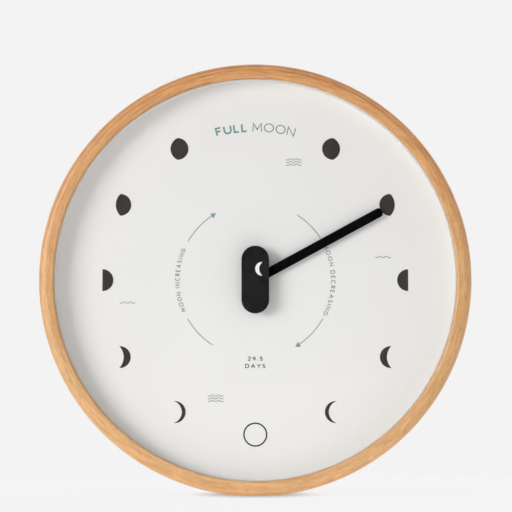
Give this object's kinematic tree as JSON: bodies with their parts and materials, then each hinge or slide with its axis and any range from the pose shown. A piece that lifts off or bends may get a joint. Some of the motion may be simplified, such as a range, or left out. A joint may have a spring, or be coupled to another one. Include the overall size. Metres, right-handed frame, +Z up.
{
  "type": "moon phase clock",
  "caption": "Round clock in a bent beech hoop, with moon phases round a white dial, one black hand under a pill-shaped cover, and a battery movement set from behind.",
  "frame": {"origin": "middle of the hoop's depth, on the planed foot that the clock stands on", "axes": "-Y is the front, where the dial faces; +X is to the right as seen from the front; +Z is up"},
  "size_m": [0.3, 0.045, 0.2991],
  "materials": {
    "beech": "fine grain, satin oil",
    "clear_lens": "clear, polished",
    "white_ring": "matte",
    "dial_white": "matte printed sheet",
    "fibre_board": "raw fibre board",
    "dark_ink": "matte ink",
    "teal_ink": "matte ink",
    "black_metal": "matte paint",
    "brass": "turned",
    "cover_black": "fine matte",
    "crescent_white": "matte",
    "steel": "zinc plated",
    "rubber": "matte",
    "casing_black": "moulded, fine texture",
    "gear_white": "moulded acetal",
    "gear_green": "moulded acetal",
    "magnet_grey": "sintered",
    "soft_iron": "stamped",
    "bobbin_amber": "moulded",
    "copper_wire": "enamelled wire",
    "circuit_green": "solder mask",
    "chip_black": "potted resin",
    "crystal_can": "drawn can",
    "capacitor_tan": "ceramic",
    "cell_label": "printed sleeve",
    "contact_nickel": "nickel plated",
    "felt": "felt"
  },
  "bodies": {
    "clock_case": {"case_hoop": "beech", "lens": "clear_lens", "spacer_ring": "white_ring", "dial_face": "dial_white", "dial_board": "fibre_board", "moon_phase_marks": "dark_ink", "direction_arrows": "teal_ink", "wave_marks": "teal_ink", "center_cover": "cover_black", "cover_crescent": "crescent_white", "center_post": "steel", "threaded_neck": "brass", "front_washer": "brass", "fixing_nut": "brass", "rubber_washer": "rubber", "front_casing": "casing_black", "rear_casing": "casing_black", "casing_screws": "steel", "gear_plate": "gear_white", "stator": "soft_iron", "coil_core": "soft_iron", "coil_bobbin": "bobbin_amber", "coil_winding": "copper_wire", "motor_screws": "steel", "circuit_board": "circuit_green", "driver_chip": "chip_black", "quartz_crystal": "crystal_can", "capacitor": "capacitor_tan", "positive_contact": "contact_nickel", "negative_contact": "contact_nickel", "retaining_brackets": "steel", "bracket_screws": "steel", "bracket_pads": "felt"},
    "hand_body": {"moon_hand": "black_metal", "hand_collet": "brass", "moon_wheel": "gear_white"},
    "clutch_pinion_body": {"clutch_pinion": "gear_green"},
    "setting_body": {"setting_arbor": "gear_white", "setting_knob": "casing_black"},
    "third_wheel_body": {"third_wheel": "gear_white"},
    "second_wheel_body": {"second_wheel": "gear_green"},
    "first_wheel_body": {"first_wheel": "gear_white"},
    "rotor_body": {"rotor_pinion": "gear_green", "rotor_magnet": "magnet_grey"},
    "battery_body": {"battery_cell": "cell_label"}
  },
  "joints": [
    {"name": "hand_turn", "type": "hinge", "parent": "clock_case", "child": "hand_body", "pos_m": [0, 0.0015, 0.1491], "axis": [0, 1, 0], "continuous": true},
    {"name": "clutch_pinion_turn", "type": "hinge", "parent": "clock_case", "child": "clutch_pinion_body", "pos_m": [-0.01212, 0.001, 0.1561], "axis": [0, 1, 0], "continuous": true},
    {"name": "setting_turn", "type": "hinge", "parent": "clock_case", "child": "setting_body", "pos_m": [0.01316, 0.0075, 0.15389], "axis": [0, 1, 0], "continuous": true},
    {"name": "third_wheel_turn", "type": "hinge", "parent": "clock_case", "child": "third_wheel_body", "pos_m": [-0.01212, 0.0035, 0.1561], "axis": [0, 1, 0], "continuous": true},
    {"name": "second_wheel_turn", "type": "hinge", "parent": "clock_case", "child": "second_wheel_body", "pos_m": [-0.0065, 0.0055, 0.16584], "axis": [0, 1, 0], "continuous": true},
    {"name": "first_wheel_turn", "type": "hinge", "parent": "clock_case", "child": "first_wheel_body", "pos_m": [0.0031, 0.0075, 0.16415], "axis": [0, 1, 0], "continuous": true},
    {"name": "rotor_turn", "type": "hinge", "parent": "clock_case", "child": "rotor_body", "pos_m": [0.0124, 0.0085, 0.16415], "axis": [0, 1, 0], "continuous": true},
    {"name": "battery_slide", "type": "slide", "parent": "clock_case", "child": "battery_body", "axis": [0, 1, 0], "range_m": [0, 0.03]}
  ],
  "couplings": [
    {"joint": "clutch_pinion_turn", "follows": "hand_turn", "ratio": -2.5},
    {"joint": "setting_turn", "follows": "hand_turn", "ratio": -2.5},
    {"joint": "second_wheel_turn", "follows": "third_wheel_turn", "ratio": -4},
    {"joint": "first_wheel_turn", "follows": "third_wheel_turn", "ratio": 13.333},
    {"joint": "rotor_turn", "follows": "third_wheel_turn", "ratio": -55.556}
  ]
}
